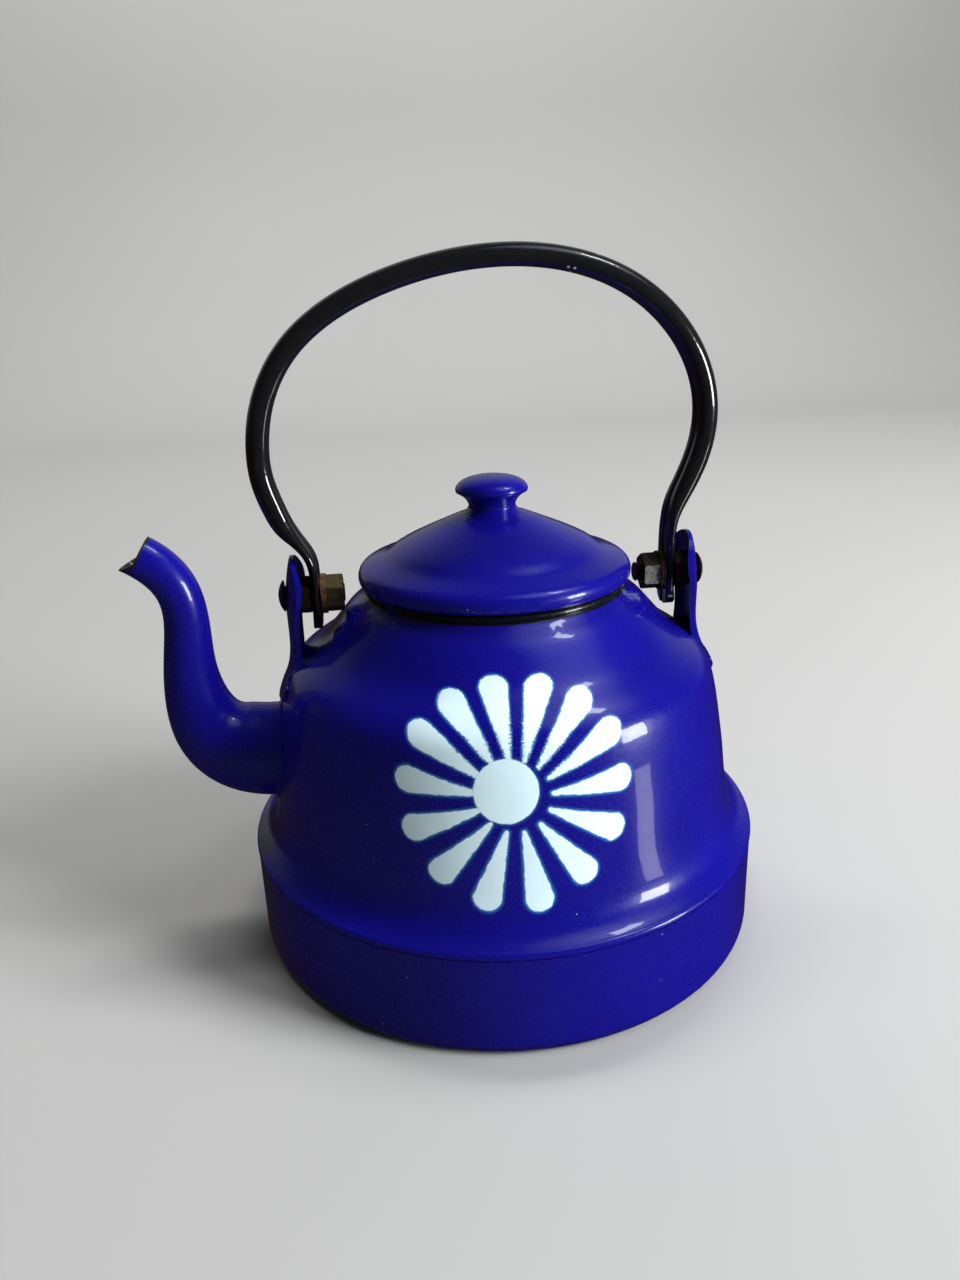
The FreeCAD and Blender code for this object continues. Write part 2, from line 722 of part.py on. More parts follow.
def main():
    fill_sheet()
    bell_solid = filled_bell()
    nodes = [make_base_pan(), make_bell_shell()]
    nodes += make_spout(bell_solid)
    nodes += make_ears(bell_solid)
    nodes += make_hinge_hardware()
    nodes.append(make_bail_handle())
    lid_shell = make_lid_shell()
    nodes += [lid_shell, make_lid_collar(lid_shell), make_knob_neck(), make_knob_cap()]
    check_and_write(nodes)


main()
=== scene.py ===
import bpy
import math
from mathutils import Matrix, Vector


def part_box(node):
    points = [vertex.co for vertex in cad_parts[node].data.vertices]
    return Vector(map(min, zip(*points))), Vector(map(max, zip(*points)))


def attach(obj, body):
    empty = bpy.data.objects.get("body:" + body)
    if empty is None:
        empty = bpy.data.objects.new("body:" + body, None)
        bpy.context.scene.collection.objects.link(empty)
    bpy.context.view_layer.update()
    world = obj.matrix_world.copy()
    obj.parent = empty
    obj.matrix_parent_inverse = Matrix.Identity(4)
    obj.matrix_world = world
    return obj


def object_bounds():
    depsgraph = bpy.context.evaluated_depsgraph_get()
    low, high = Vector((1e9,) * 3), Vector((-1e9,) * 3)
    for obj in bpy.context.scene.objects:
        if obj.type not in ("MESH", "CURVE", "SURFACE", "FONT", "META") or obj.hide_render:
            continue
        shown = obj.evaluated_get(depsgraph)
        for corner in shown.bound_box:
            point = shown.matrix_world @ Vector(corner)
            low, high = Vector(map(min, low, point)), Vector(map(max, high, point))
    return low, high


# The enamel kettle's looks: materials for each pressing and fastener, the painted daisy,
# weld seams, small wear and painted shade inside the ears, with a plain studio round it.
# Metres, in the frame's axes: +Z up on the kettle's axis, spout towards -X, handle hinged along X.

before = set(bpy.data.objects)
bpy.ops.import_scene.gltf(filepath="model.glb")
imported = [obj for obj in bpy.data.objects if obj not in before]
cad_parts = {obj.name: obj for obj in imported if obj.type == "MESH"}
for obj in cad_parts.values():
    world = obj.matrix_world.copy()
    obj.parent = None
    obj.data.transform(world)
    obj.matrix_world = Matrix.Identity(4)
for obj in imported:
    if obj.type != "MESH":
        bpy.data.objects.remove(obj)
cad_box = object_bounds()

MM = 0.001

# Camera, looking at the kettle from the -Y side and a little above; lens and sensor in mm.
CAMERA_PLACE = Vector((-35.74, -283.30, 194.29)) * MM
CAMERA_HEADING = math.radians(6.1545)
CAMERA_DOWN = math.radians(20.0127)
CAMERA_ROLL = math.radians(-2.2495)
CAMERA_LENS = 27.29
SENSOR = 36.0

# The daisy, in mm on the bell: the disc, the petals' own centre beside it, and for a petal's
# root and head the distance from that centre and the half width.
DISC_BEARING = math.radians(-6.2)
DISC_HEIGHT = 73.7
DISC_RADIUS = 8.45
PETAL_CENTRE = (2.5, -1.5)
PETAL_COUNT = 14
PETAL_ROOT = (9.6, 0.55)
PETAL_HEAD = (28.5, 3.5)
UPPER_SPREAD = 0.6
FIRST_PETAL = math.radians(125.8)
PETAL_CROWDING = math.radians(4.5)
# Above this height the bell turns in, and the stencil lay on it the longer way.
SHOULDER_HEIGHT = 87.0
SHOULDER_STRETCH = 0.5

# Where the black of the mouth's rolled rim begins.
BEAD_LOW = 108.55

# The pouring lip: points (x, z) on its two trimmed edges, in mm.
LIP_TOP = (-100.8, 129.6)
LIP_NOTCH = (-104.4, 123.4)
LIP_BOTTOM = (-109.8, 120.9)

# The handle, in mm: a patch worn bare at the rear bend, and chips within a range of its top.
WORN_BEND = (59.6, -3.0, 127.0)
CHIPPED_TOP = (29.0, 202.5)
CHIPPED_NEAR, CHIPPED_FAR = 5.0, 11.0

# Welds and fillets, in mm and degrees.
FRONT, REAR = -1, 1
EAR_FOOT_HEIGHT = 84.6
EAR_WELD_SWEEP = (-196.0, 16.0)
EAR_WELD_STEPS = 60
EAR_WELD_CORNERS = 12
EAR_WELD_REACH = (2.0, 20.0)
EAR_WELD_HALF_WIDTH = 1.5
EAR_WELD_THICKNESS = 0.85
EAR_WELD_LIFT = 0.2
HALVINGS = 12
ROUND_STEPS = 96
SPOUT_FOOT_HEIGHT = 59.7
SPOUT_WELD_HALF_HEIGHT = 15.1
SPOUT_WELD_HALF_WIDTH = 13.4
SPOUT_WELD_THICKNESS = 0.9
SPOUT_WELD_CORNERS = 10
# The knob's fillet: radius, and height from the foot of the knob's neck.
KNOB_FILLET = (
    (7.0, -0.4), (9.7, -0.62), (9.1, -0.25), (8.4, 0.1), (7.8, 0.55), (7.4, 1.2), (6.9, 1.5),
)


# ---------------------------------------------------------------- node helpers

class Shader:
    """A material's node tree, with short calls for the maths between its nodes."""

    def __init__(self, name):
        self.material = bpy.data.materials.new(name)
        self.material.use_nodes = True
        self.nodes = self.material.node_tree.nodes
        self.links = self.material.node_tree.links
        self.surface = self.nodes["Principled BSDF"]
        self.place = self.node("ShaderNodeTexCoord").outputs["Object"]

    def node(self, kind, **settings):
        made = self.nodes.new(kind)
        for key, value in settings.items():
            setattr(made, key, value)
        return made

    def feed(self, socket, value):
        """Link a socket to another, or set it to a number or colour."""
        if isinstance(value, bpy.types.NodeSocket):
            self.links.new(value, socket)
        else:
            socket.default_value = value

    def math(self, operation, *values, clamp=False):
        made = self.node("ShaderNodeMath", operation=operation, use_clamp=clamp)
        for socket, value in zip(made.inputs, values):
            self.feed(socket, value)
        return made.outputs[0]

    def add(self, *values):
        total = values[0]
        for value in values[1:]:
            total = self.math("ADD", total, value)
        return total

    def times(self, first, second):
        return self.math("MULTIPLY", first, second)

    def minus(self, first, second):
        return self.math("SUBTRACT", first, second)

    def length(self, across, up):
        """The length of a flat vector, from its two parts."""
        return self.math("SQRT", self.add(self.times(across, across), self.times(up, up)))

    def ramp(self, value, low, high):
        """0 below low and 1 above high, smooth between; low may be the larger."""
        made = self.node("ShaderNodeMapRange", interpolation_type="SMOOTHSTEP")
        for socket, number in zip(("Value", "From Min", "From Max"), (value, low, high)):
            self.feed(made.inputs[socket], number)
        return made.outputs["Result"]

    def mix(self, factor, first, second):
        made = self.node("ShaderNodeMix", data_type="RGBA")
        self.feed(made.inputs["Factor"], factor)
        self.feed(made.inputs["A"], first)
        self.feed(made.inputs["B"], second)
        return made.outputs["Result"]

    def noise(self, per_mm, detail=2.0, roughness=0.5, stretch=(1, 1, 1), seed=0.0):
        """Noise with about per_mm features to the millimetre, from 0 to 1."""
        moved = self.node("ShaderNodeMapping")
        self.feed(moved.inputs["Vector"], self.place)
        moved.inputs["Scale"].default_value = [axis / MM for axis in stretch]
        moved.inputs["Location"].default_value = (seed, seed, seed)
        made = self.node("ShaderNodeTexNoise")
        self.feed(made.inputs["Vector"], moved.outputs[0])
        made.inputs["Scale"].default_value = per_mm
        made.inputs["Detail"].default_value = detail
        made.inputs["Roughness"].default_value = roughness
        return made.outputs["Fac"]

    def specks(self, per_mm, radius, share, seed=0.0):
        """1 in small scattered dots: radius in cell widths, share of the cells that hold one."""
        moved = self.node("ShaderNodeMapping")
        self.feed(moved.inputs["Vector"], self.place)
        moved.inputs["Scale"].default_value = (1 / MM, 1 / MM, 1 / MM)
        moved.inputs["Location"].default_value = (seed, seed, seed)
        cells = self.node("ShaderNodeTexVoronoi")
        self.feed(cells.inputs["Vector"], moved.outputs[0])
        cells.inputs["Scale"].default_value = per_mm
        pick = self.node("ShaderNodeSeparateColor")
        self.feed(pick.inputs[0], cells.outputs["Color"])
        chosen = self.math("LESS_THAN", pick.outputs[0], share)
        return self.times(self.ramp(cells.outputs["Distance"], radius, 0.6 * radius), chosen)

    def coordinates(self):
        """x, y and z in millimetres."""
        parts = self.node("ShaderNodeSeparateXYZ")
        self.feed(parts.inputs[0], self.place)
        return [self.times(axis, 1 / MM) for axis in parts.outputs]

    def normal(self):
        """The three parts of the surface's outward direction, in the object's axes."""
        turned = self.node("ShaderNodeVectorTransform", vector_type="NORMAL", convert_from="WORLD",
                           convert_to="OBJECT")
        self.feed(turned.inputs[0], self.node("ShaderNodeNewGeometry").outputs["True Normal"])
        parts = self.node("ShaderNodeSeparateXYZ")
        self.feed(parts.inputs[0], turned.outputs[0])
        return list(parts.outputs)

    def bump(self, layers):
        """Relief from (height, depth in mm) layers, linked to the surface's normal."""
        below = None
        for height, depth in layers:
            made = self.node("ShaderNodeBump")
            made.inputs["Distance"].default_value = depth * MM
            self.feed(made.inputs["Height"], height)
            if below is not None:
                self.feed(made.inputs["Normal"], below)
            below = made.outputs[0]
        self.feed(self.surface.inputs["Normal"], below)
        return below

    def finish(self, **values):
        """Set or link the surface's sockets, named with underscores for spaces."""
        for name, value in values.items():
            self.feed(self.surface.inputs[name.replace("_", " ")], value)
        return self.material


# ---------------------------------------------------------------- enamel

BLUE_DEEP = (0.0028, 0.0019, 0.145, 1)
BLUE_LIGHT = (0.0055, 0.0037, 0.245, 1)
BLACK = (0.004, 0.004, 0.005, 1)
BLACK_SMEAR = (0.010, 0.010, 0.012, 1)
WORN_STEEL = (0.16, 0.12, 0.10, 1)
PALE_CHIP = (0.62, 0.60, 0.55, 1)
BARE_IRON = (0.012, 0.008, 0.006, 1)
BROWN_SCALE = (0.085, 0.062, 0.040, 1)
DUST = (0.45, 0.48, 0.55, 1)
PETAL_WHITE = (0.74, 0.92, 0.97, 1)
PETAL_SHADE = (0.58, 0.79, 0.86, 1)
SPRAY_CYAN = (0.03, 0.22, 0.55, 1)


def blue_glaze(shader):
    """The mottled cobalt coat, with pinholes and a few pale dust specks."""
    drift = shader.noise(0.03, detail=3.0, seed=3.0)
    colour = shader.mix(drift, BLUE_DEEP, BLUE_LIGHT)
    pits = shader.specks(0.16, 0.05, 0.16, seed=11.0)
    colour = shader.mix(pits, colour, BLACK)
    dust = shader.specks(0.13, 0.028, 0.22, seed=29.0)
    return shader.mix(dust, colour, DUST), pits


def glaze_relief(shader, pits):
    """Orange peel in the fired glass, a slow unevenness and pinholes."""
    peel = shader.noise(0.55, detail=2.0, seed=7.0)
    sway = shader.noise(0.06, detail=1.0, seed=17.0)
    return [(sway, 0.10), (peel, 0.022), (shader.minus(1.0, pits), 0.05)]


def glaze_roughness(shader):
    """Under the clear top coat the glaze is matt in fine patches, which breaks up soft lights."""
    fine = shader.noise(2.2, detail=4.0, roughness=0.7, seed=5.0)
    patches = shader.noise(0.35, detail=3.0, seed=23.0)
    matt = shader.times(shader.ramp(fine, 0.35, 0.75), 0.22)
    return shader.add(0.16, matt, shader.times(patches, 0.10))


def enamel(name, paint=None):
    """Glossy blue enamel.  paint(shader, colour) may cover it with other colours."""
    shader = Shader(name)
    colour, pits = blue_glaze(shader)
    relief = glaze_relief(shader, pits)
    roughness = glaze_roughness(shader)
    if paint is not None:
        colour, roughness, relief = paint(shader, colour, roughness, relief)
    shader.bump(relief)
    return shader.finish(Base_Color=colour, Roughness=roughness, Specular_IOR_Level=0.3,
                         Coat_Weight=0.8, Coat_Roughness=0.03, Coat_IOR=1.36)


def daisy_distance(shader):
    """Distances in mm from the disc's edge and the nearest petal's edge, the reach from the petals'
    centre and the height above it, and y."""
    x, y, z = shader.coordinates()
    around = shader.minus(shader.math("ARCTAN2", x, shader.times(y, -1)), DISC_BEARING)
    across = shader.times(around, shader.length(x, y))
    over = shader.math("MAXIMUM", shader.minus(z, SHOULDER_HEIGHT), 0.0)
    climb = shader.times(over, SHOULDER_STRETCH)
    up = shader.minus(shader.add(z, climb), DISC_HEIGHT)
    disc = shader.minus(shader.length(across, up), DISC_RADIUS)
    right = shader.minus(across, PETAL_CENTRE[0])
    above = shader.minus(up, PETAL_CENTRE[1])
    reach = shader.length(right, above)
    bearing = shader.math("ARCTAN2", above, right)
    crowding = shader.times(shader.math("COSINE", bearing), PETAL_CROWDING)
    crowded = shader.minus(bearing, crowding)
    step = 2 * math.pi / PETAL_COUNT
    turn = shader.math("DIVIDE", shader.minus(crowded, FIRST_PETAL), step)
    off = shader.times(shader.minus(turn, shader.math("ROUND", turn)), step)
    along = shader.times(reach, shader.math("COSINE", off))
    beside = shader.times(reach, shader.math("SINE", off))
    root, root_width = PETAL_ROOT
    head, head_width = PETAL_HEAD
    share = shader.math("DIVIDE", shader.minus(along, root), head - root, clamp=True)
    middle = shader.add(root, shader.times(share, head - root))
    spread = shader.times(shader.ramp(above, 0.0, 20.0), UPPER_SPREAD)
    widening = shader.add(head_width - root_width, spread)
    width = shader.add(root_width, shader.times(share, widening))
    petal = shader.minus(shader.length(shader.minus(along, middle), beside), width)
    return disc, petal, reach, above, y


def paint_daisy(shader, colour, roughness, relief):
    """A white daisy sprayed through a stencil on the -Y side, with a cyan haze at its edges."""
    disc, petal, reach, above, y = daisy_distance(shader)
    grit = shader.minus(shader.noise(2.6, detail=3.0, roughness=0.8, seed=41.0), 0.5)
    wobble = shader.times(shader.minus(shader.noise(0.5, detail=2.0, seed=43.0), 0.5), 0.8)
    haze = shader.times(shader.ramp(above, -4.0, 16.0), shader.ramp(reach, 27.0, 12.0))
    rim_haze = shader.times(shader.ramp(above, 8.0, 26.0), 0.35)
    fuzz = shader.add(0.25, shader.times(shader.math("MAXIMUM", haze, rim_haze), 4.2))
    edge = shader.add(petal, wobble, shader.times(grit, fuzz))
    petals = shader.ramp(edge, 0.22, -0.22)
    disc_edge = shader.add(disc, shader.times(wobble, 0.6), shader.times(grit, 0.25))
    centre = shader.ramp(disc_edge, 0.2, -0.2)
    front = shader.math("LESS_THAN", y, 0.0)
    white = shader.times(shader.math("MAXIMUM", petals, centre), front)
    nearest = shader.math("MINIMUM", petal, disc)
    spray = shader.ramp(shader.add(nearest, grit), 1.0, -0.2)
    spray = shader.times(shader.times(spray, front), shader.ramp(disc, -1.0, 2.0))
    colour = shader.mix(shader.times(spray, 0.75), colour, SPRAY_CYAN)
    mottle = shader.noise(0.25, detail=4.0, seed=47.0)
    outline = shader.ramp(shader.math("ABSOLUTE", disc), 0.5, 0.0)
    thin = shader.math("MAXIMUM", shader.times(mottle, 0.6), outline)
    colour = shader.mix(white, colour, shader.mix(thin, PETAL_WHITE, PETAL_SHADE))
    relief = relief + [(white, 0.05)]
    return colour, shader.add(roughness, shader.times(white, 0.10)), relief


def paint_bell(shader, colour, roughness, relief):
    """The daisy, and the black rolled rim of the mouth."""
    colour, roughness, relief = paint_daisy(shader, colour, roughness, relief)
    z = shader.coordinates()[2]
    wander = shader.times(shader.minus(shader.noise(0.12, seed=53.0), 0.5), 0.5)
    rim = shader.ramp(shader.add(z, wander), BEAD_LOW - 0.06, BEAD_LOW + 0.06)
    return shader.mix(rim, colour, BLACK), roughness, relief


def beyond_line(shader, x, z, start, end):
    """How far in mm a point lies to the kettle's side of a line in the XZ plane."""
    along = Vector((end[0] - start[0], end[1] - start[1])).normalized()
    side_x = shader.times(shader.minus(x, start[0]), -along.y)
    side_z = shader.times(shader.minus(z, start[1]), along.x)
    return shader.add(side_x, side_z)


def paint_spout(shader, colour, roughness, relief):
    """Bare brown iron along the trimmed lip and inside its lower half, and the seam's relief."""
    x, y, z = shader.coordinates()
    upwards = shader.normal()[2]
    inside = shader.math("MAXIMUM", beyond_line(shader, x, z, LIP_TOP, LIP_NOTCH),
                         beyond_line(shader, x, z, LIP_NOTCH, LIP_BOTTOM))
    ragged = shader.times(shader.minus(shader.noise(1.1, detail=3.0, seed=59.0), 0.5), 1.5)
    bare = shader.ramp(shader.add(inside, ragged), 1.0, 0.45)
    tip = shader.ramp(x, LIP_NOTCH[0] + 2.0, LIP_NOTCH[0])
    throat = shader.times(shader.ramp(upwards, 0.15, 0.35), tip)
    worn = shader.math("MAXIMUM", bare, throat)
    scale = shader.ramp(shader.noise(0.9, detail=4.0, seed=61.0), 0.35, 0.7)
    rust = shader.mix(shader.times(scale, throat), BARE_IRON, BROWN_SCALE)
    colour = shader.mix(worn, colour, rust)
    seam = shader.ramp(shader.math("ABSOLUTE", y), 0.7, 0.0)
    return colour, shader.add(roughness, shader.times(worn, 0.3)), relief + [(seam, 0.15)]


def paint_ear_shade(side):
    """Painted shade: the ear's hollow inner face, turned towards the kettle, is painted black to stand for
    the shadow inside it.
    """
    def paint(shader, colour, roughness, relief):
        along_hinge = shader.normal()[0]
        # Painted shade: faces turned inwards along the hinge are mixed to black, for the shadow in the
        # ear's hollow.
        black = shader.ramp(shader.times(along_hinge, -side), 0.0, 0.1)
        return shader.mix(black, colour, BLACK), roughness, relief
    return paint


def black_enamel(name):
    """Thick glossy black on the rolled strip, chipped at its top and worn bare at one bend."""
    shader = Shader(name)
    x, y, z = shader.coordinates()
    peel = shader.noise(0.4, detail=2.0, seed=67.0)
    sway = shader.noise(0.05, detail=1.0, seed=71.0)
    smear = shader.noise(0.22, detail=4.0, seed=73.0)
    colour = shader.mix(smear, BLACK, BLACK_SMEAR)
    ragged = shader.times(shader.minus(shader.noise(1.4, detail=3.0, seed=79.0), 0.5), 5.0)
    in_plane = shader.length(shader.minus(x, WORN_BEND[0]), shader.minus(z, WORN_BEND[2]))
    bend = shader.length(in_plane, shader.minus(y, WORN_BEND[1]))
    worn = shader.ramp(shader.add(bend, ragged), 2.4, 1.8)
    top = shader.length(shader.minus(x, CHIPPED_TOP[0]), shader.minus(z, CHIPPED_TOP[1]))
    chip_zone = shader.ramp(top, CHIPPED_FAR, CHIPPED_NEAR)
    chips = shader.times(shader.specks(0.55, 0.30, 0.13, seed=83.0), chip_zone)
    colour = shader.mix(worn, colour, WORN_STEEL)
    colour = shader.mix(chips, colour, PALE_CHIP)
    marks = shader.math("MAXIMUM", worn, chips)
    shader.bump([(sway, 0.12), (peel, 0.02), (shader.minus(1.0, marks), 0.08)])
    roughness = shader.add(0.10, shader.times(smear, 0.14), shader.times(marks, 0.35))
    return shader.finish(Base_Color=colour, Roughness=roughness, Specular_IOR_Level=0.35,
                         Coat_Weight=1.0, Coat_Roughness=0.03, Coat_IOR=1.5)


# ---------------------------------------------------------------- metal

# Each metal's bright and tarnished colours, and the hinge nut's rubbed flat.
OLIVE, OLIVE_DARK = (0.30, 0.25, 0.11, 1), (0.05, 0.035, 0.012, 1)
STEEL, STEEL_DARK = (0.075, 0.062, 0.045, 1), (0.02, 0.015, 0.010, 1)
STEEL_RUBBED = (0.46, 0.46, 0.38, 1)
COPPER, COPPER_DARK = (0.50, 0.28, 0.16, 1), (0.10, 0.045, 0.02, 1)
BROWN, BROWN_DARK = (0.085, 0.05, 0.03, 1), (0.02, 0.012, 0.008, 1)


def old_metal(name, bright, dark, roughness, seed, rubbed=None):
    """Tarnished metal with grime in patches and fine scratches; the -Y flat may be rubbed bare."""
    shader = Shader(name)
    patches = shader.noise(0.45, detail=5.0, roughness=0.65, seed=seed)
    scratches = shader.noise(1.1, detail=2.0, stretch=(0.25, 1, 2.4), seed=seed + 1.0)
    grime = shader.ramp(patches, 0.38, 0.66)
    colour = shader.mix(grime, bright, dark)
    if rubbed is not None:
        flat = shader.ramp(shader.normal()[1], -0.86, -0.97)
        colour = shader.mix(shader.times(flat, shader.ramp(patches, 0.75, 0.45)), colour, rubbed)
    shader.bump([(patches, 0.05), (scratches, 0.02)])
    rough = shader.add(roughness, shader.times(grime, 0.2), shader.times(scratches, 0.12))
    metallic = shader.minus(0.95, shader.times(grime, 0.4))
    return shader.finish(Base_Color=colour, Roughness=rough, Metallic=metallic)


def shade_smooth(mesh):
    for polygon in mesh.polygons:
        polygon.use_smooth = True


def assign(material, *nodes):
    """Give the named nodes this material alone."""
    for node in nodes:
        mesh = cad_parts[node].data
        mesh.materials.clear()
        mesh.materials.append(material)


def dress_kettle():
    """Materials on every CAD node, and the small added pieces in the same enamel."""
    blue = enamel("blue_enamel")
    assign(blue, "base_pan", "lid_shell", "knob_neck", "knob_cap")
    make_spout_weld(blue)
    make_ear_weld("front_ear_weld", "front_ear", FRONT, blue)
    make_ear_weld("rear_ear_weld", "rear_ear", REAR, blue)
    make_knob_fillet(blue)
    assign(enamel("bell_enamel", paint_bell), "bell_shell")
    assign(enamel("spout_enamel", paint_spout), "spout_left_shell", "spout_right_shell")
    assign(enamel("front_ear_enamel", paint_ear_shade(-1)), "front_ear")
    assign(enamel("rear_ear_enamel", paint_ear_shade(1)), "rear_ear")
    assign(black_enamel("black_enamel"), "bail_handle", "lid_collar")
    olive = old_metal("olive_brass", OLIVE, OLIVE_DARK, 0.32, 101.0)
    assign(olive, "front_end_nut")
    rubbed = old_metal("rubbed_steel", STEEL, STEEL_DARK, 0.36, 107.0, rubbed=STEEL_RUBBED)
    assign(rubbed, "rear_end_nut")
    copper = old_metal("copper_washer", COPPER, COPPER_DARK, 0.3, 113.0)
    assign(copper, "front_washer")
    brown = old_metal("brown_steel", BROWN, BROWN_DARK, 0.42, 127.0)
    assign(brown, "front_clamp_nut", "rear_clamp_nut", "front_bolt", "rear_bolt", "rear_washer")
    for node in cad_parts.values():
        shade_smooth(node.data)


# ---------------------------------------------------------------- small welds and fillets

def corner_turns(count):
    """The angles of the corners round a ring."""
    return [2 * math.pi * corner / count for corner in range(count)]


def mesh_piece(name, rings, material, body, closed_along=True):
    """A tube through rings of points, riding on a body."""
    mesh = bpy.data.meshes.new(name)
    count = len(rings[0])
    faces = []
    for ring in range(len(rings) if closed_along else len(rings) - 1):
        here = ring * count
        after = (ring + 1) % len(rings) * count
        for step in range(count):
            beside = (step + 1) % count
            faces.append((here + step, here + beside, after + beside, after + step))
    mesh.from_pydata([point for ring in rings for point in ring], [], faces)
    shade_smooth(mesh)
    mesh.materials.append(material)
    piece = bpy.data.objects.new(name, mesh)
    bpy.context.collection.objects.link(piece)
    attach(piece, body)
    return piece


def make_spout_weld(material):
    """The fillet of weld and glaze where the spout meets the bell."""
    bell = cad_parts["bell_shell"]
    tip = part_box("spout_left_shell")[0][0]
    centre_height = SPOUT_FOOT_HEIGHT * MM
    half_height, half_width = SPOUT_WELD_HALF_HEIGHT * MM, SPOUT_WELD_HALF_WIDTH * MM
    rings = []
    for angle in corner_turns(ROUND_STEPS):
        outwards = Vector((0, math.cos(angle), math.sin(angle)))
        start = Vector((tip, half_width * outwards.y, centre_height + half_height * outwards.z))
        found, place, normal, face = bell.ray_cast(start, Vector((1, 0, 0)))
        unevenness = 1 + 0.12 * math.sin(5 * angle) + 0.08 * math.sin(11 * angle + 1)
        swell = SPOUT_WELD_THICKNESS * MM * unevenness
        rings.append([place + swell * (outwards * math.cos(turn) + normal * math.sin(turn))
                      for turn in corner_turns(SPOUT_WELD_CORNERS)])
    mesh_piece("spout_weld", rings, material, "body")


def make_ear_weld(name, node, side, material):
    """The braze round an ear's foot, drawn out thin onto the bell."""
    ear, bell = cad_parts[node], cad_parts["bell_shell"]
    middle = Vector((0, 0, EAR_FOOT_HEIGHT * MM))
    inwards = Vector((-side, 0, 0))
    outside = Vector((side * cad_box[1][0], 0, 0))
    rings = []
    for step in range(EAR_WELD_STEPS + 1):
        share = step / EAR_WELD_STEPS
        begin, end = EAR_WELD_SWEEP
        angle = math.radians(begin + share * (end - begin))
        across = Vector((0, math.cos(angle), math.sin(angle)))
        near, far = EAR_WELD_REACH[0] * MM, EAR_WELD_REACH[1] * MM
        for halving in range(HALVINGS):
            reach = (near + far) / 2
            if ear.ray_cast(middle + outside + across * reach, inwards)[0]:
                near = reach
            else:
                far = reach
        found, place, normal, face = bell.ray_cast(middle + outside + across * near, inwards)
        taper = min(1.0, 0.15 + 5.0 * min(share, 1 - share))
        wide = EAR_WELD_HALF_WIDTH * taper * MM
        thick = EAR_WELD_THICKNESS * taper * MM
        lift = EAR_WELD_LIFT * MM
        rings.append([place + wide * across * math.cos(turn) + normal * (lift + thick * math.sin(turn))
                      for turn in corner_turns(EAR_WELD_CORNERS)])
    mesh_piece(name, rings, material, "body", closed_along=False)


def make_knob_fillet(material):
    """The glaze that has run into the corner between the knob and the lid."""
    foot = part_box("knob_neck")[0][2]
    rings = []
    for angle in corner_turns(ROUND_STEPS):
        rings.append([Vector((math.cos(angle) * radius * MM, math.sin(angle) * radius * MM, foot + up * MM))
                      for radius, up in KNOB_FILLET])
    mesh_piece("knob_fillet", rings, material, "lid")


# ---------------------------------------------------------------- studio

ROOM_SKY = (1.0, 1.05, 1.15, 1)
ROOM_DIM = (0.030, 0.032, 0.037, 1)
ROOM_WALL = (0.24, 0.24, 0.24, 1)
ROOM_TABLE = (0.022, 0.013, 0.009, 1)
FLOOR_GREY = (0.46, 0.455, 0.44, 1)
COOL, WARM, WHITE = (0.93, 0.97, 1.0), (1.0, 0.95, 0.9), (1, 1, 1)
SKY_BEARING, SKY_ELEVATION = 72, 62

# The floor, in metres: its near edge, where the bend starts, the backdrop's height, the bend's
# radius and steps, and the half width.
FLOOR_NEAR, FLOOR_DEPTH, BACKDROP_HEIGHT = -2.4, 1.15, 2.4
FLOOR_BEND, BEND_STEPS, FLOOR_HALF_WIDTH = 0.5, 12, 3.0


def area_light(name, place, target, size, power, colour=WHITE, reflected=True):
    """A rectangular soft light at a place, facing a target; reflected means seen in the glaze."""
    data = bpy.data.lights.new(name, "AREA")
    data.shape = "RECTANGLE"
    data.size, data.size_y = size
    data.energy = power
    data.color = colour
    light = bpy.data.objects.new(name, data)
    light.location = place
    light.rotation_mode = "QUATERNION"
    light.rotation_quaternion = (Vector(target) - Vector(place)).to_track_quat("-Z", "Y")
    light.visible_glossy = reflected
    bpy.context.collection.objects.link(light)


def from_bearing(bearing, elevation, distance):
    """A place seen from the kettle: bearing 0 is -Y and 90 is +X, in degrees."""
    turn = math.radians(bearing)
    tilt = math.radians(elevation)
    flat = distance * math.cos(tilt)
    return Vector((flat * math.sin(turn), -flat * math.cos(turn), distance * math.sin(tilt)))


def pale_floor_material():
    shader = Shader("pale_floor")
    cloud = shader.noise(0.004, detail=3.0, seed=131.0)
    paler = [part * 1.04 for part in FLOOR_GREY[:3]] + [1]
    return shader.finish(Base_Color=shader.mix(cloud, FLOOR_GREY, paler), Roughness=0.75)


def make_sweep():
    """A pale floor that curves up into a backdrop behind the kettle."""
    low = cad_box[0][2]
    bend = FLOOR_BEND
    outline = [(FLOOR_NEAR, low)]
    for step in range(BEND_STEPS + 1):
        angle = math.radians(-90 + 90 * step / BEND_STEPS)
        outline.append((FLOOR_DEPTH + bend * math.cos(angle), low + bend + bend * math.sin(angle)))
    outline.append((FLOOR_DEPTH + bend, BACKDROP_HEIGHT))
    mesh = bpy.data.meshes.new("studio_floor")
    points = [(side * FLOOR_HALF_WIDTH, y, z) for y, z in outline for side in (-1, 1)]
    faces = [(2 * n, 2 * n + 1, 2 * n + 3, 2 * n + 2) for n in range(len(outline) - 1)]
    mesh.from_pydata(points, [], faces)
    shade_smooth(mesh)
    mesh.materials.append(pale_floor_material())
    floor = bpy.data.objects.new("studio_floor", mesh)
    bpy.context.collection.objects.link(floor)
    floor.visible_glossy = False


def make_lights():
    """Soft lights; table_glint lies below the floor and shows only as a reflection."""
    centre = (0, 0, 0.08)
    area_light("key", from_bearing(62, 34, 1.3), centre, (0.5, 0.4), 18.0, (0.96, 0.98, 1.0),
               reflected=False)
    area_light("window", from_bearing(60, 11, 1.3), centre, (0.34, 0.40), 11.0, COOL)
    area_light("table_glint", from_bearing(62, -15, 1.3), centre, (0.22, 0.30), 1.0, WARM)
    area_light("skylight", from_bearing(80, 62, 1.4), centre, (0.14, 0.22), 1.6, COOL)
    area_light("wall_light", (0, 0.55, 2.1), (0, 1.65, 0.7), (1.6, 0.5), 38.0, reflected=False)


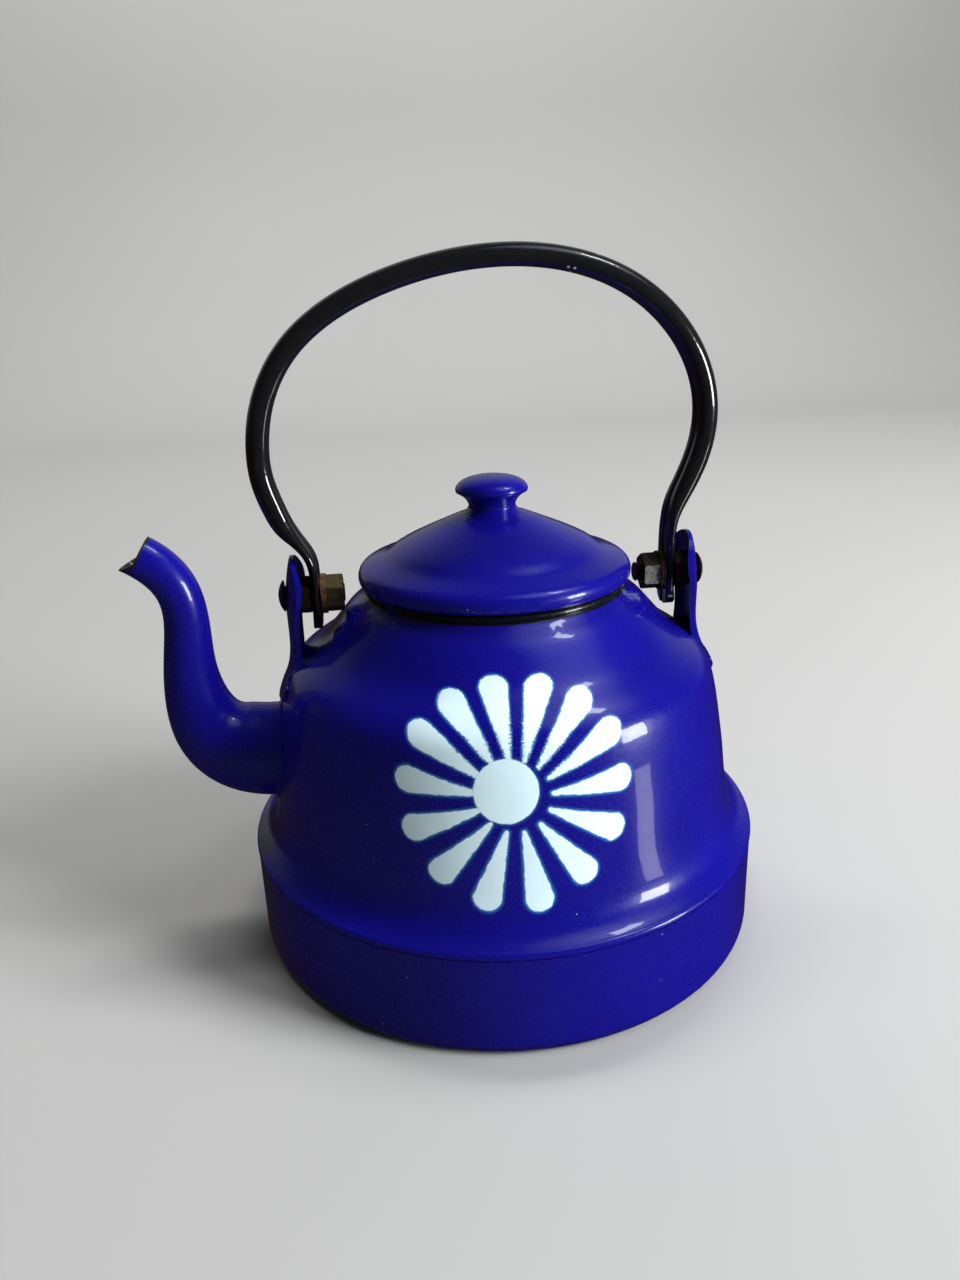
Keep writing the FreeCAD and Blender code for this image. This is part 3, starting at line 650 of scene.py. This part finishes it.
def make_world():
    """Dim above, paler towards the wall behind, dark below, with a soft glow of sky at the right."""
    world = bpy.data.worlds.new("studio_world")
    world.use_nodes = True
    nodes, links = world.node_tree.nodes, world.node_tree.links
    towards = nodes.new("ShaderNodeTexCoord").outputs["Generated"]
    parts = nodes.new("ShaderNodeSeparateXYZ")
    links.new(towards, parts.inputs[0])
    glow = nodes.new("ShaderNodeVectorMath")
    glow.operation = "DOT_PRODUCT"
    links.new(towards, glow.inputs[0])
    glow.inputs[1].default_value = from_bearing(SKY_BEARING, SKY_ELEVATION, 1.0)
    layers = (
        (parts.outputs["Y"], 0.35, 0.9, ROOM_WALL),
        (glow.outputs["Value"], 0.90, 0.995, ROOM_SKY),
        (parts.outputs["Z"], 0.08, -0.06, ROOM_TABLE),
    )
    below = None
    for place, low, high, shade in layers:
        blend = nodes.new("ShaderNodeMapRange")
        blend.interpolation_type = "SMOOTHSTEP"
        blend.inputs["From Min"].default_value = low
        blend.inputs["From Max"].default_value = high
        links.new(place, blend.inputs["Value"])
        mix = nodes.new("ShaderNodeMix")
        mix.data_type = "RGBA"
        links.new(blend.outputs["Result"], mix.inputs["Factor"])
        mix.inputs["A"].default_value = ROOM_DIM
        if below is not None:
            links.new(below, mix.inputs["A"])
        mix.inputs["B"].default_value = shade
        below = mix.outputs["Result"]
    links.new(below, nodes["Background"].inputs["Color"])
    bpy.context.scene.world = world


def make_camera():
    data = bpy.data.cameras.new("camera")
    data.lens = CAMERA_LENS
    data.sensor_width = SENSOR
    camera = bpy.data.objects.new("camera", data)
    heading = Matrix.Rotation(-CAMERA_HEADING, 4, "Z")
    tilt = Matrix.Rotation(math.pi / 2 - CAMERA_DOWN, 4, "X")
    roll = Matrix.Rotation(CAMERA_ROLL, 4, "Z")
    camera.matrix_world = Matrix.Translation(CAMERA_PLACE) @ heading @ tilt @ roll
    bpy.context.collection.objects.link(camera)
    bpy.context.scene.camera = camera


dress_kettle()
make_sweep()
make_lights()
make_world()
make_camera()
bpy.context.scene.view_settings.view_transform = "Standard"
